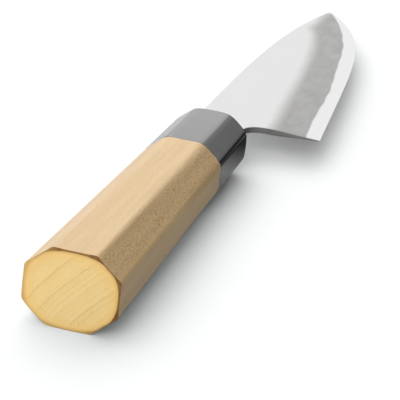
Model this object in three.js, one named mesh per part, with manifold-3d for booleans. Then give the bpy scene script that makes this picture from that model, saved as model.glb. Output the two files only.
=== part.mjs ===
// Petty knife with a laminated blade and an octagonal wooden handle, lying on its left side.
// The blade is three layers of steel: a hard core between two soft claddings, all drawn out into one tang.
// The tang is bedded in the handle's mortise, and a ferrule is glued over the handle's tenon.
// Sizes are in millimetres. The knife is drawn along +X from the butt to the tip, with the spine towards +Y
// and the right-hand face towards +Z, and is then turned so that its lowest facet lies on the table.
import * as THREE from 'three';
import { mergeVertices } from 'three/addons/utils/BufferGeometryUtils.js';
import Module from 'manifold-3d';

// Handle: an octagon that narrows evenly from the butt to the front of the ferrule
const HANDLE_LENGTH = 114.9;
const BUTT_HEIGHT = 21.5;
const BUTT_THICKNESS = 17.9;
const BUTT_CORNER = 5.8;
const FRONT_HEIGHT = 19.3;
const FRONT_THICKNESS = 15.7;
const FRONT_CORNER = 5;
// Thickness that a corner facet takes off for each millimetre of height
const CORNER_SLOPE = 0.844;

// Butt end: a low dome of end grain with a sloping rim round it
const BUTT_DOME = 0.6;
const BUTT_RIM = 0.3;
const BUTT_RIM_SLOPE = 0.5;

// Ferrule: its front is rounded to a nose, which reaches further along the handle than across it
const FERRULE_LENGTH = 28.6;
const FERRULE_WALL = 1.9;
const FERRULE_FLOOR = 10;
const NOSE_RIM = 1.3;
const NOSE_SPREAD = 2.6;
const NOSE_DEPTH = 3.5;

// Fullness of the rounded ends, seen along the handle: 2 is an ellipse and more is nearer a rectangle
const BUTT_FULLNESS = 2.5;
const NOSE_FULLNESS = 2;

// Tenon, mortise and tang inside the handle
const TENON_WALL = 1.3;
const TENON_CHEEK = 2.2;
const BUTT_WALL = 14;
const BEDDING = 1;
const BEDDING_END = 2;
const TANG_END_HEIGHT = 7.5;
const GLUE_LINE = 0.1;

// Blade outline, seen on its flat
const NECK_LENGTH = 15.1;
const BLADE_LENGTH = 134;
const HEEL_HEIGHT = 33.6;
const SPINE_INSET = 2.15;
const NECK_INSET = 3.65;
const NECK_SEAT = 6;
const CHOIL_SLANT = -0.3;
const CHOIL_ROUND = 6.5;
const TIP_DROP = 8.6;
const SPINE_POWER = 4.2;
const EDGE_RISE = 9.3;
const BELLY_POWER = 5.7;
const TIP_HEIGHT = 0.5;

// Blade section: flat down to the ridge, then ground to the edge
const SPINE_AT_HEEL = 1.75;
const SPINE_AT_TIP = 0.55;
const EDGE_THICKNESS = 0.2;
const GRIND_HEIGHT = 12.7;
const TIP_GRIND_SHARE = 0.65;

// Lamination: the strip of core that shows above the edge has a gently waved upper line
const STRIP_AT_HEEL = 4.4;
const STRIP_AT_TIP = 3.4;
const WELD_WAVE = 0.3;
const WELD_WAVE_LENGTH = 54;
const WELD_WAVE_START = 10;
const WELD_LINE = 0.03;
const FEATHER = 0.02;
const CLAD_TIP_SETBACK = 2;

// Number of facets in each round or curved stretch, and how much closer they lie towards the tip
const BLADE_STATIONS = 44;
const TIP_CROWDING = 1.5;
const END_SEGMENTS = 72;
const ARC_STEPS = 6;
const CURVE_STEPS = 10;
// Distance by which a cut runs past what it cuts, or a join reaches into what it joins
const OVERRUN = 2;

// Places along the knife that follow from the sizes
const jointX = HANDLE_LENGTH - FERRULE_LENGTH;
const tenonEndX = HANDLE_LENGTH - FERRULE_FLOOR;
const shoulderX = HANDLE_LENGTH - NECK_SEAT;
const heelX = HANDLE_LENGTH + NECK_LENGTH;
const tipX = heelX + BLADE_LENGTH;
const tangEndX = BUTT_WALL + BEDDING_END;
const spineY = FRONT_HEIGHT / 2 - SPINE_INSET;
const neckY = NECK_INSET - FRONT_HEIGHT / 2;
const heelY = spineY - HEEL_HEIGHT;
const bellyRise = HEEL_HEIGHT - TIP_DROP - TIP_HEIGHT - EDGE_RISE;

const wasm = await Module();
wasm.setup();

function solidFrom(geometry) {
  geometry.deleteAttribute('normal');
  geometry.deleteAttribute('uv');
  const merged = mergeVertices(geometry);
  const mesh = new wasm.Mesh({
    numProp: 3,
    vertProperties: merged.attributes.position.array,
    triVerts: Uint32Array.from(merged.index.array),
  });
  return new wasm.Manifold(mesh);
}

function geometryFrom(solid) {
  const mesh = solid.getMesh();
  const geometry = new THREE.BufferGeometry();
  geometry.setAttribute('position', new THREE.BufferAttribute(mesh.vertProperties, 3));
  geometry.setIndex(new THREE.BufferAttribute(mesh.triVerts, 1));
  const faceted = geometry.toNonIndexed();
  faceted.computeVertexNormals();
  return faceted;
}

// Closed skin through a row of cross-sections. Each is a convex loop of as many points, which runs
// from +Y to +Z, and the rows go along +X.
function loft(sections) {
  const count = sections[0].length;
  const last = (sections.length - 1) * count;
  const indices = [];
  for (let row = 0; row < last; row += count) {
    for (let k = 0; k < count; k += 1) {
      const near = row + k;
      const next = row + ((k + 1) % count);
      indices.push(near, next, near + count);
      indices.push(next, next + count, near + count);
    }
  }
  for (let k = 1; k < count - 1; k += 1) {
    indices.push(0, k + 1, k);
    indices.push(last, last + k, last + k + 1);
  }
  const geometry = new THREE.BufferGeometry().setFromPoints(sections.flat());
  geometry.setIndex(indices);
  return solidFrom(geometry);
}

// Flat outline in X and Y, made thick from one height to another
function slab(outline, lowZ, highZ) {
  const options = { depth: highZ - lowZ, bevelEnabled: false, curveSegments: CURVE_STEPS };
  return solidFrom(new THREE.ExtrudeGeometry(outline, options).translate(0, 0, lowZ));
}

// Slot with round ends that runs along the handle, of the given height and width
function longSlot(height, width, startX, endX) {
  const straight = (height - width) / 2;
  const outline = new THREE.Shape();
  outline.absarc(straight, 0, width / 2, -Math.PI / 2, Math.PI / 2);
  outline.absarc(-straight, 0, width / 2, Math.PI / 2, (3 * Math.PI) / 2);
  const options = { depth: endX - startX, bevelEnabled: false, curveSegments: CURVE_STEPS };
  const geometry = new THREE.ExtrudeGeometry(outline, options);
  const acrossToAlong = new THREE.Matrix4().makeBasis(
    new THREE.Vector3(0, 1, 0),
    new THREE.Vector3(0, 0, 1),
    new THREE.Vector3(1, 0, 0),
  );
  return solidFrom(geometry.applyMatrix4(acrossToAlong).translate(startX, 0, 0));
}

// Loop between an ellipse and a rectangle, square to the handle
function fullLoop(x, halfHeight, halfThickness, fullness) {
  const loop = [];
  for (let k = 0; k < END_SEGMENTS; k += 1) {
    const angle = (2 * Math.PI * k) / END_SEGMENTS;
    const y = Math.sign(Math.cos(angle)) * Math.abs(Math.cos(angle)) ** (2 / fullness);
    const z = Math.sign(Math.sin(angle)) * Math.abs(Math.sin(angle)) ** (2 / fullness);
    loop.push(new THREE.Vector3(x, halfHeight * y, halfThickness * z));
  }
  return loop;
}

function taper(buttSize, frontSize, x) {
  return THREE.MathUtils.mapLinear(x, 0, HANDLE_LENGTH, buttSize, frontSize);
}

function handleHeight(x) {
  return taper(BUTT_HEIGHT, FRONT_HEIGHT, x);
}

function handleThickness(x) {
  return taper(BUTT_THICKNESS, FRONT_THICKNESS, x);
}

function octagonAt(x) {
  const top = handleHeight(x) / 2;
  const side = handleThickness(x) / 2;
  const corner = taper(BUTT_CORNER, FRONT_CORNER, x);
  const topFlat = top - corner;
  const sideFlat = side - corner * CORNER_SLOPE;
  const loop = [
    [topFlat, -side],
    [top, -sideFlat],
    [top, sideFlat],
    [topFlat, side],
    [-topFlat, side],
    [-top, sideFlat],
    [-top, -sideFlat],
    [-topFlat, -side],
  ];
  return loop.map(([y, z]) => new THREE.Vector3(x, y, z));
}

function octagonBar(startX, endX) {
  return loft([octagonAt(startX), octagonAt(endX)]);
}

// Height of the tang where it leaves the neck: what the ferrule, the tenon and the bedding leave free
const mortiseHeight = handleHeight(jointX) - 2 * (FERRULE_WALL + GLUE_LINE + TENON_WALL);
const mortiseWidth = SPINE_AT_HEEL + 2 * (BEDDING + 2 * GLUE_LINE);
const tangHeight = mortiseHeight - 2 * (BEDDING + 2 * GLUE_LINE);

// Tang: it narrows evenly to a round end. Clearance widens the outline all round.
function tangOutline(clearance) {
  const half = tangHeight / 2 + clearance;
  const endRadius = TANG_END_HEIGHT / 2 + clearance;
  const outline = new THREE.Shape();
  outline.moveTo(shoulderX + OVERRUN, -half);
  outline.lineTo(shoulderX + OVERRUN, half);
  outline.absarc(tangEndX + TANG_END_HEIGHT / 2, 0, endRadius, Math.PI / 2, (3 * Math.PI) / 2);
  return outline;
}

// Neck: the part of the blade that enters the ferrule, up to the shoulders of the tang
function neckOutline(clearance) {
  const outline = new THREE.Shape();
  outline.moveTo(shoulderX - clearance, neckY - clearance);
  outline.lineTo(heelX, neckY - clearance);
  outline.lineTo(heelX, spineY + clearance);
  outline.lineTo(shoulderX - clearance, spineY + clearance);
  return outline;
}

// Space below the neck and behind the heel, with a rounded inner corner
function choilOutline() {
  const corner = new THREE.Vector2(heelX + CHOIL_SLANT, neckY);
  const heel = new THREE.Vector2(heelX, heelY);
  const down = heel.clone().sub(corner).normalize();
  const roundEnd = corner.clone().addScaledVector(down, CHOIL_ROUND);
  const below = heel.clone().addScaledVector(down, OVERRUN);
  const outline = new THREE.Shape();
  outline.moveTo(shoulderX - OVERRUN, neckY);
  outline.lineTo(shoulderX - OVERRUN, below.y);
  outline.lineTo(below.x, below.y);
  outline.lineTo(roundEnd.x, roundEnd.y);
  outline.quadraticCurveTo(corner.x, corner.y, corner.x - CHOIL_ROUND, neckY);
  return outline;
}

// How far along the blade a place lies, from 0 at the heel and behind it to 1 at the tip
function alongBlade(x) {
  return Math.max(0, (x - heelX) / BLADE_LENGTH);
}

// Spine: straight out of the handle, then falling away to the tip
function spineAt(x) {
  const along = Math.max(0, (x - HANDLE_LENGTH) / (tipX - HANDLE_LENGTH));
  return spineY - TIP_DROP * along ** SPINE_POWER;
}

// Edge: a straight rise from the heel with a belly that sweeps up to the tip
function edgeAt(x) {
  const along = alongBlade(x);
  return heelY + (EDGE_RISE * (x - heelX)) / BLADE_LENGTH + bellyRise * along ** BELLY_POWER;
}

// Section of the blade at one place: heights above the edge, and half thicknesses
function sectionAt(x) {
  const along = alongBlade(x);
  const edge = edgeAt(x);
  const spine = spineAt(x);
  const ridgeRise = Math.min(GRIND_HEIGHT, TIP_GRIND_SHARE * (spine - edge));
  const flatHalf = THREE.MathUtils.lerp(SPINE_AT_HEEL, SPINE_AT_TIP, along) / 2;
  const edgeHalf = EDGE_THICKNESS / 2;
  const grindSlope = (flatHalf - edgeHalf) / ridgeRise;
  const distance = along * BLADE_LENGTH - WELD_WAVE_START;
  const wave = Math.sin((2 * Math.PI * distance) / WELD_WAVE_LENGTH);
  const evenStrip = THREE.MathUtils.lerp(STRIP_AT_HEEL, STRIP_AT_TIP, along);
  const strip = ((evenStrip + WELD_WAVE * wave) * ridgeRise) / GRIND_HEIGHT;
  const cladFoot = edgeHalf + grindSlope * strip;
  const coreHalf = cladFoot - FEATHER - WELD_LINE;
  return {
    edge,
    spine,
    edgeHalf,
    flatHalf,
    coreHalf,
    cladFoot,
    cladY: edge + strip,
    coreY: edge + (coreHalf - edgeHalf) / grindSlope,
    ridgeY: edge + ridgeRise,
  };
}

// Stations from the neck's shoulders to the given end, closer together towards the tip
function bladeStations(endX) {
  const stations = [shoulderX, heelX];
  for (let k = 1; k <= BLADE_STATIONS; k += 1) {
    const left = 1 - k / BLADE_STATIONS;
    stations.push(endX - (endX - heelX) * left ** TIP_CROWDING);
  }
  return stations;
}

function coreSection(x) {
  const { edge, spine, edgeHalf, coreHalf, coreY } = sectionAt(x);
  const loop = [
    [edge, -edgeHalf],
    [coreY, -coreHalf],
    [spine, -coreHalf],
    [spine, coreHalf],
    [coreY, coreHalf],
    [edge, edgeHalf],
  ];
  return loop.map(([y, z]) => new THREE.Vector3(x, y, z));
}

// One cladding's section. Side is 1 on the right-hand face and -1 on the left.
function claddingSection(x, side) {
  const { spine, flatHalf, coreHalf, cladFoot, cladY, ridgeY } = sectionAt(x);
  const inner = coreHalf + WELD_LINE;
  const loop = [
    [cladY, inner],
    [spine, inner],
    [spine, flatHalf],
    [ridgeY, flatHalf],
    [cladY, cladFoot],
  ];
  const points = loop.map(([y, z]) => new THREE.Vector3(x, y, side * z));
  return side > 0 ? points : points.reverse();
}

const heelSection = sectionAt(heelX);
const choilTool = slab(choilOutline(), -SPINE_AT_HEEL, SPINE_AT_HEEL);

function bladeCore() {
  const blade = loft(bladeStations(tipX).map(coreSection)).subtract(choilTool);
  const tang = slab(tangOutline(0), -heelSection.coreHalf, heelSection.coreHalf);
  return blade.add(tang);
}

function cladding(side) {
  const stations = bladeStations(tipX - CLAD_TIP_SETBACK);
  const blade = loft(stations.map((x) => claddingSection(x, side))).subtract(choilTool);
  const inner = heelSection.coreHalf + WELD_LINE;
  const outer = heelSection.flatHalf;
  const tang = slab(tangOutline(0), side > 0 ? inner : -outer, side > 0 ? outer : -inner);
  return blade.add(tang);
}

// Room for the neck and the tang, with the given clearance all round
function tangRoom(clearance) {
  const half = SPINE_AT_HEEL / 2 + clearance;
  return slab(neckOutline(clearance), -half, half).add(slab(tangOutline(clearance), -half, half));
}

// Butt form: a dome, then a sloping rim that reaches furthest down at the corners
function buttForm() {
  const faceHeight = BUTT_HEIGHT / 2 - BUTT_RIM;
  const faceThickness = BUTT_THICKNESS / 2 - BUTT_RIM;
  const outerHeight = faceHeight + BUTT_HEIGHT;
  const outerThickness = faceThickness + BUTT_HEIGHT;
  const loops = [];
  for (let k = 1; k <= ARC_STEPS; k += 1) {
    const share = k / ARC_STEPS;
    const depth = BUTT_DOME * share ** 2;
    loops.push(fullLoop(depth, faceHeight * share, faceThickness * share, BUTT_FULLNESS));
  }
  const rimDepth = BUTT_DOME + BUTT_HEIGHT * BUTT_RIM_SLOPE;
  loops.push(fullLoop(rimDepth, outerHeight, outerThickness, BUTT_FULLNESS));
  loops.push(fullLoop(HANDLE_LENGTH, outerHeight, outerThickness, BUTT_FULLNESS));
  return loft(loops);
}

// Nose form: a shoulder with the section of a quarter ellipse, which runs out into a flat front
function noseForm() {
  const faceHeight = FRONT_HEIGHT / 2 - NOSE_RIM;
  const faceThickness = FRONT_THICKNESS / 2 - NOSE_RIM;
  const loops = [fullLoop(0, faceHeight + NOSE_SPREAD, faceThickness + NOSE_SPREAD, NOSE_FULLNESS)];
  for (let k = 0; k <= ARC_STEPS; k += 1) {
    const angle = (k / ARC_STEPS) * (Math.PI / 2);
    const x = HANDLE_LENGTH - NOSE_DEPTH * (1 - Math.sin(angle));
    const spread = NOSE_SPREAD * Math.cos(angle);
    loops.push(fullLoop(x, faceHeight + spread, faceThickness + spread, NOSE_FULLNESS));
  }
  return loft(loops);
}

function tenonBar(clearance) {
  const height = mortiseHeight + 2 * (TENON_WALL + clearance);
  const width = mortiseWidth + 2 * (TENON_CHEEK + clearance);
  return longSlot(height, width, jointX - OVERRUN, tenonEndX + clearance);
}

function handleGrip() {
  const bar = octagonBar(0, jointX - GLUE_LINE).intersect(buttForm());
  const mortise = longSlot(mortiseHeight, mortiseWidth, BUTT_WALL, HANDLE_LENGTH);
  return bar.add(tenonBar(0)).subtract(mortise);
}

function ferrule() {
  const sleeve = octagonBar(jointX, HANDLE_LENGTH).intersect(noseForm());
  return sleeve.subtract(tenonBar(GLUE_LINE)).subtract(tangRoom(GLUE_LINE));
}

function tangBedding() {
  const height = mortiseHeight - 2 * GLUE_LINE;
  const width = mortiseWidth - 2 * GLUE_LINE;
  const filling = longSlot(height, width, BUTT_WALL + GLUE_LINE, tenonEndX);
  return filling.subtract(tangRoom(GLUE_LINE));
}

function finish(color, roughness, metalness) {
  return new THREE.MeshStandardMaterial({ color, roughness, metalness });
}

function part(name, solid, material) {
  const mesh = new THREE.Mesh(geometryFrom(solid), material);
  mesh.name = name;
  return mesh;
}

const knife = new THREE.Group();
knife.add(part('handle_grip', handleGrip(), finish(0xd9bb8a, 0.6, 0)));
knife.add(part('ferrule', ferrule(), finish(0x2a2a2c, 0.35, 0)));
knife.add(part('tang_bedding', tangBedding(), finish(0x8a7a58, 0.5, 0)));
knife.add(part('blade_core', bladeCore(), finish(0xe2e4e4, 0.25, 1)));
knife.add(part('cladding_right', cladding(1), finish(0xb9bab8, 0.4, 1)));
knife.add(part('cladding_left', cladding(-1), finish(0xb9bab8, 0.4, 1)));

// The knife lies on its lowest facet, and the origin is at the middle of that facet
const facetRise = (BUTT_THICKNESS - FRONT_THICKNESS) / 2;
const facetMiddle = new THREE.Vector3(HANDLE_LENGTH / 2, 0, -handleThickness(HANDLE_LENGTH / 2) / 2);
knife.rotation.y = Math.atan2(facetRise, HANDLE_LENGTH);
knife.position.copy(facetMiddle.applyEuler(knife.rotation).negate());

const pettyKnife = new THREE.Group();
pettyKnife.add(knife);

export default pettyKnife;
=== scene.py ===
"""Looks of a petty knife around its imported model: wooden handle, ferrule, laminated blade and stage.

The knife's own frame runs along +X from the butt to the tip, with the spine towards +Y and the right-hand
face towards +Z. Every surface is worked out in that frame and then turned, so that the knife's lowest facet
lies on the table.
"""

import math

import bpy
import numpy as np
from bpy.props import FloatProperty, FloatVectorProperty, PointerProperty
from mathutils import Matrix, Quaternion, Vector


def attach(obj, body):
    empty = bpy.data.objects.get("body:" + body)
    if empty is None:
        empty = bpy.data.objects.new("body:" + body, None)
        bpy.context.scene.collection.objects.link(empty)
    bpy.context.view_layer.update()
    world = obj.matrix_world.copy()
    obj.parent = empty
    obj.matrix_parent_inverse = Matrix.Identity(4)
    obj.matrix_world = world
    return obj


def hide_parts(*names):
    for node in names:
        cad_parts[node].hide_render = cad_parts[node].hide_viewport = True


bl_info = {
    "name": "Petty knife",
    "version": (1, 0, 0),
    "blender": (4, 5, 0),
    "location": "3D View > Sidebar > Knife",
    "description": "Builds the visible surfaces of a petty knife around its packed model",
    "category": "Add Mesh",
}

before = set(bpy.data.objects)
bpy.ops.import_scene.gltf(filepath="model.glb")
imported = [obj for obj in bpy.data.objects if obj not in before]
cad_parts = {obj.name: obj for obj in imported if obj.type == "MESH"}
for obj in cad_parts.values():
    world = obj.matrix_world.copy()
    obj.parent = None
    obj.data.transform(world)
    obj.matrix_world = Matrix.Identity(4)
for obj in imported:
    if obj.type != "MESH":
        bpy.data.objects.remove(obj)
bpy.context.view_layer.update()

MM = 0.001
BODY = "root"

# Points in each rounded edge and on each flat of the octagon, and rows along its surfaces
EDGE_POINTS = 6
FLAT_POINTS = 7
GRIP_ROWS = 48
RIM_ROWS = 4
DOME_ROWS = 16
FERRULE_ROWS = 16
NOSE_ROWS = 12

# Stations along the blade's four stretches, and rows across it
TANG_STATIONS = 36
NECK_STATIONS = 12
CHOIL_STATIONS = 36
EDGE_STATIONS = 220
RUN_START = TANG_STATIONS + NECK_STATIONS + CHOIL_STATIONS
ACROSS_ROWS = 56

# The first rows across the blade as shares of its height, close together so that the walls can be rounded
WALL_SHARES = np.array([0.0, 0.003, 0.007, 0.013, 0.022])

# Where the tang's first station stands, before squaring, and how closely the last ones stand at the tip
TANG_FIRST = 0.02
TIP_CROWDING = 1.5

# Halvings that find where two forms meet, and the limits for a sharp edge and for doubled points
HALVINGS = 40
SHARP_ANGLE = math.radians(28)
WELD_DISTANCE = 0.001 * MM

# The rim is darkest towards the edge side and the right-hand face, in height and thickness
BURNISH_DIRECTION = np.array([-0.75, 0.66])
BURNISH_TURN = (-0.5, 0.35)
BURNISH_LEAST = 0.2
BURNISH_START = 0.985

# Mean strength of the weld line's ripple, and how far it swings with the slow wave
RIPPLE_MEAN = 0.7
RIPPLE_SWING = 0.3

# Where the haze starts and is full: below the ridge in grind eases, and above the weld line in weld blurs
HAZE_AT_RIDGE = (-1.3, 1.5)
HAZE_AT_WELD = (-0.2, 1.0)


def length_value(name, description, millimetres):
    """A length that a user may change, given in millimetres and kept in metres."""
    default = millimetres * MM
    return FloatProperty(name=name, description=description, default=default, unit="LENGTH", precision=5)


def plain_value(name, description, value):
    """A number without a unit that a user may change."""
    return FloatProperty(name=name, description=description, default=value)


def angle_value(name, description, degrees):
    """An angle that a user may change, given in degrees and kept in radians."""
    return FloatProperty(name=name, description=description, default=math.radians(degrees), subtype="ANGLE")


def place_value(name, description, millimetres):
    """A point that a user may change, given in millimetres and kept in metres."""
    default = [MM * each for each in millimetres]
    return FloatVectorProperty(name=name, description=description, default=default, subtype="TRANSLATION")


def colour_value(name, description, colour):
    """A colour that a user may change, in linear light."""
    return FloatVectorProperty(
        name=name, description=description, default=colour, subtype="COLOR", size=3, min=0.0, max=1.0
    )


class HandleSettings(bpy.types.PropertyGroup):
    """Sizes and colours of the wooden grip"""

    length: length_value("Handle length", "From the butt to the front of the ferrule", 114.9)
    butt_height: length_value("Butt height", "Height of the octagon at the butt", 21.5)
    butt_thickness: length_value("Butt thickness", "Thickness of the octagon at the butt", 17.9)
    butt_corner: length_value("Butt corner", "Height that a corner facet takes at the butt", 5.8)
    front_height: length_value("Front height", "Height of the octagon at the ferrule's front", 19.3)
    front_thickness: length_value("Front thickness", "Thickness of the octagon at the ferrule's front", 15.7)
    front_corner: length_value("Front corner", "Height that a corner facet takes at the front", 5.0)
    corner_slope: plain_value("Corner slope", "Thickness that a corner facet takes off for its height", 0.844)
    butt_ease: length_value("Butt ease", "Reach of the rounding on the grip's long edges at the butt", 0.6)
    front_ease: length_value("Front ease", "Reach of the same rounding, carried on to the front", 1.7)
    butt_dome: length_value("Butt dome", "Depth of the low dome of end grain", 0.6)
    butt_rim: length_value("Butt rim", "Width of the sloping rim at the middle of a facet", 0.3)
    least_rim: length_value("Least rim", "Width of the rim where the end grain comes nearest", 0.16)
    rim_slope: plain_value("Rim slope", "Depth of the rim for its width", 0.5)
    butt_fullness: plain_value("Butt fullness", "2 makes the butt an ellipse, and more a rectangle", 2.5)
    tenon_height: length_value("Tenon height", "Height of the tenon inside the ferrule", 15.85)
    tenon_width: length_value("Tenon width", "Width of the tenon inside the ferrule", 8.55)
    mortise_height: length_value("Mortise height", "Height of the mortise for the tang", 13.25)
    mortise_width: length_value("Mortise width", "Width of the mortise for the tang", 4.15)
    mortise_end: length_value("Mortise end", "Wood left between the mortise and the butt", 14.0)
    side_colour: colour_value("Side grain", "Colour of the facets", (0.67, 0.46, 0.215))
    end_colour: colour_value("End grain", "Colour of the butt", (0.84, 0.61, 0.26))
    pale_colour: colour_value("Pale end grain", "Colour of the butt's palest clouds", (0.86, 0.66, 0.34))
    glow_colour: colour_value("Warm end grain", "Colour of the butt towards its rim", (0.83, 0.53, 0.17))
    ring_colour: colour_value("Rings", "Colour of the growth rings", (0.48, 0.27, 0.075))
    rim_colour: colour_value("Burnished rim", "Colour of the rim round the butt", (0.19, 0.08, 0.016))
    pore_colour: colour_value("Pores", "Colour of the pores and of the late wood", (0.33, 0.16, 0.045))


class FerruleSettings(bpy.types.PropertyGroup):
    """Sizes and colours of the ferrule, and the bedding's colour"""

    length: length_value("Ferrule length", "From the joint with the grip to the front", 28.6)
    floor: length_value("Ferrule floor", "From the end of the tenon to the front", 10.0)
    glue_line: length_value("Glue line", "Gap between glued pieces", 0.1)
    ease: length_value("Edge ease", "Reach of the rounding on the long edges", 1.0)
    nose_rim: length_value("Nose rim", "Distance of the flat front from the facets", 1.3)
    nose_spread: length_value("Nose spread", "Reach of the rounded nose across the handle", 2.6)
    nose_depth: length_value("Nose depth", "Reach of the rounded nose along the handle", 3.5)
    nose_fullness: plain_value("Nose fullness", "2 makes the front an ellipse, and more a rectangle", 2.0)
    slot_round: length_value("Slot round", "Radius in the corners of the neck's slot", 0.3)
    colour: colour_value("Ferrule colour", "Colour of the black collar", (0.012, 0.012, 0.013))
    resin_colour: colour_value("Bedding colour", "Colour of the resin round the tang", (0.25, 0.2, 0.12))


class BladeSettings(bpy.types.PropertyGroup):
    """Sizes and colours of the blade's core and claddings"""

    neck_length: length_value("Neck length", "From the front of the ferrule to the heel", 15.1)
    length: length_value("Blade length", "From the heel to the tip", 134.0)
    heel_height: length_value("Heel height", "From the edge to the spine at the heel", 33.6)
    spine_inset: length_value("Spine inset", "Step from the ferrule's top to the spine", 2.15)
    neck_inset: length_value("Neck inset", "Step from the ferrule's bottom to the neck", 3.65)
    neck_seat: length_value("Neck seat", "Depth by which the neck enters the ferrule", 6.0)
    choil_slant: length_value("Choil slant", "Lean of the heel's back", -0.3)
    choil_round: length_value("Choil round", "Reach of the round below the neck", 6.5)
    tip_drop: length_value("Tip drop", "Fall of the spine to the tip", 8.6)
    spine_power: plain_value("Spine power", "How late the spine falls", 4.2)
    edge_rise: length_value("Edge rise", "Straight rise of the edge from heel to tip", 9.3)
    belly_power: plain_value("Belly power", "How late the edge sweeps up", 5.7)
    tip_height: length_value("Tip height", "Height of the blunt end of the tip", 0.5)
    heel_thickness: length_value("Heel thickness", "Thickness at the heel and behind it", 1.75)
    tip_thickness: length_value("Tip thickness", "Thickness at the tip", 0.55)
    edge_thickness: length_value("Edge thickness", "Thickness of the edge", 0.2)
    grind_height: length_value("Grind height", "Height of the ground bevel", 12.7)
    tip_grind_share: plain_value("Tip grind share", "The bevel's share of the height near the tip", 0.65)
    grind_ease: length_value("Grind ease", "Half width of the rounding where the bevel starts", 2.4)
    heel_strip: length_value("Heel strip", "Height of the core that shows above the edge at the heel", 3.6)
    tip_strip: length_value("Tip strip", "Height of the same strip towards the tip", 4.1)
    weld_wave: length_value("Weld wave", "Rise and fall of the weld line", 0.32)
    wave_length: length_value("Wave length", "Length of one wave of the weld line", 59.0)
    wave_start: length_value("Wave start", "Place from the heel where a wave starts to rise", -0.7)
    weld_ripple: length_value("Weld ripple", "Rise and fall of the weld line's small ripple", 0.13)
    ripple_length: length_value("Ripple length", "Length of one small ripple", 12.5)
    weld_blur: length_value("Weld blur", "Height over which the haze fades out at the weld line", 0.5)
    haze_shift: length_value("Haze shift", "How far the haze reaches above the bevel's start", 0.9)
    tip_haze_share: plain_value("Tip haze share", "The haze's share of the height near the tip", 0.75)
    weld_gap: length_value("Weld gap", "Gap between the core and a cladding", 0.005)
    feather: length_value("Feather", "Thickness of a cladding's lower edge", 0.02)
    clad_setback: length_value("Clad setback", "Distance of the claddings' end from the tip", 2.0)
    clad_taper: length_value("Clad taper", "Length over which the claddings thin out to the tip", 6.0)
    wall_ease: length_value("Wall ease", "Reach of the rounding on the spine and on the choil", 0.4)
    wall_ease_depth: length_value("Wall ease depth", "Depth of that rounding", 0.13)
    tang_end: length_value("Tang end", "Place of the tang's round end", 16.0)
    tang_end_height: length_value("Tang end height", "Height of the tang at its round end", 7.5)
    tang_height: length_value("Tang height", "Height of the tang at the shoulders", 10.85)
    fan: length_value("Fan", "How far the stations lean forward above the heel", 9.0)
    flat_colour: colour_value("Flat", "Colour of the polished flat", (0.6, 0.6, 0.597))
    haze_colour: colour_value("Haze", "Colour of the hazy bevel", (0.352, 0.349, 0.34))
    core_colour: colour_value("Core", "Colour of the bright core steel", (0.648, 0.648, 0.648))
    # Partly duller cut steel and partly painted shade: the dark that the choil mirrors
    cut_and_shade_colour: colour_value("Cut faces", "Colour of the spine and of the choil", (0.248, 0.248, 0.245))


class StageSettings(bpy.types.PropertyGroup):
    """Camera, floor and light"""

    azimuth: angle_value("Azimuth", "Turn of the camera round the knife", -77.31)
    elevation: angle_value("Elevation", "Height of the camera above the horizon", 20.77)
    roll: angle_value("Roll", "Turn of the picture", 7.155)
    distance: length_value("Distance", "From the camera to its target", 500.0)
    target: place_value("Target", "Point in the middle of the picture", (33.08, -4.74, -0.13))
    lens: plain_value("Lens", "Focal length in millimetres", 179.8)
    sensor: plain_value("Sensor", "Width of the sensor in millimetres", 36.0)
    floor_reach: length_value("Floor reach", "Half the side of the square floor", 4000.0)
    floor_colour: colour_value("Floor", "Colour of the floor", (0.92, 0.93, 0.93))
    floor_bounce: plain_value("Floor bounce", "Share of its light that the floor throws back", 0.55)
    # The floor's glow is painted light, even over the floor, which lifts its shadows and tints the darkest of
    # them
    floor_glow: colour_value("Floor glow", "Light that comes through the paper", (0.012, 0.014, 0.011))
    # The floor's painted shade in mirrors: the share of its light that they show on the edge side
    floor_mirror: plain_value("Floor mirror", "Share of its light that a mirror shows on the edge side", 0.6)
    ambient: plain_value("Ambient", "Strength of the tent's light on matt surfaces", 0.3)
    blade_share: plain_value("Share on the blade", "Share of the knife's lamps that reaches the blade", 0.3)
    softbox: plain_value("Softbox", "Brightness of the softbox beyond the tip", 0.93)
    softbox_width: length_value("Softbox width", "Width of the softbox", 1600.0)
    softbox_height: length_value("Softbox height", "Height of the softbox", 1200.0)
    softbox_place: place_value("Softbox place", "Middle of the softbox", (1700.0, 690.0, 820.0))
    flag_radius: length_value("Flag radius", "Distance of the curved dark card", 1500.0)
    flag_low: length_value("Flag's low height", "Height of the dark card at its start", 300.0)
    flag_high: length_value("Flag's full height", "Height of the dark card on the edge side", 3000.0)
    flag_start: angle_value("Flag start", "Direction of the card's start, turned from the tip's", -8.0)
    flag_end: angle_value("Flag end", "Direction of the card's other end", -140.0)


def unit(vectors):
    """Vectors of length one along the last axis."""
    return vectors / np.linalg.norm(vectors, axis=-1, keepdims=True)


def ease(low, high, value):
    """0 below low, 1 above high and a smooth S between them: 3 s squared less 2 s cubed."""
    share = np.clip((value - low) / (high - low), 0.0, 1.0)
    return share * share * (3.0 - 2.0 * share)


def ease_out(share):
    """Steps that shorten towards the end: 1 less the square of what is left."""
    return 1.0 - (1.0 - share) ** 2


def bend(step, start, corner, end):
    """Quadratic curve from start to end, drawn towards the corner between them."""
    return (1 - step) ** 2 * start + 2 * step * (1 - step) * corner + step**2 * end


def on_table(points, handle):
    """Knife frame to row frame: turned about Y until the lowest facet is level, with its middle at 0."""
    rise = (handle.butt_thickness - handle.front_thickness) / 2.0
    turn = math.atan2(rise, handle.length)
    middle_thickness = (handle.butt_thickness + handle.front_thickness) / 2.0
    along = points[..., 0] - handle.length / 2.0
    up = points[..., 2] + middle_thickness / 2.0
    x = along * math.cos(turn) + up * math.sin(turn)
    z = up * math.cos(turn) - along * math.sin(turn)
    return np.stack([x, points[..., 1], z], axis=-1)


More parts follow.
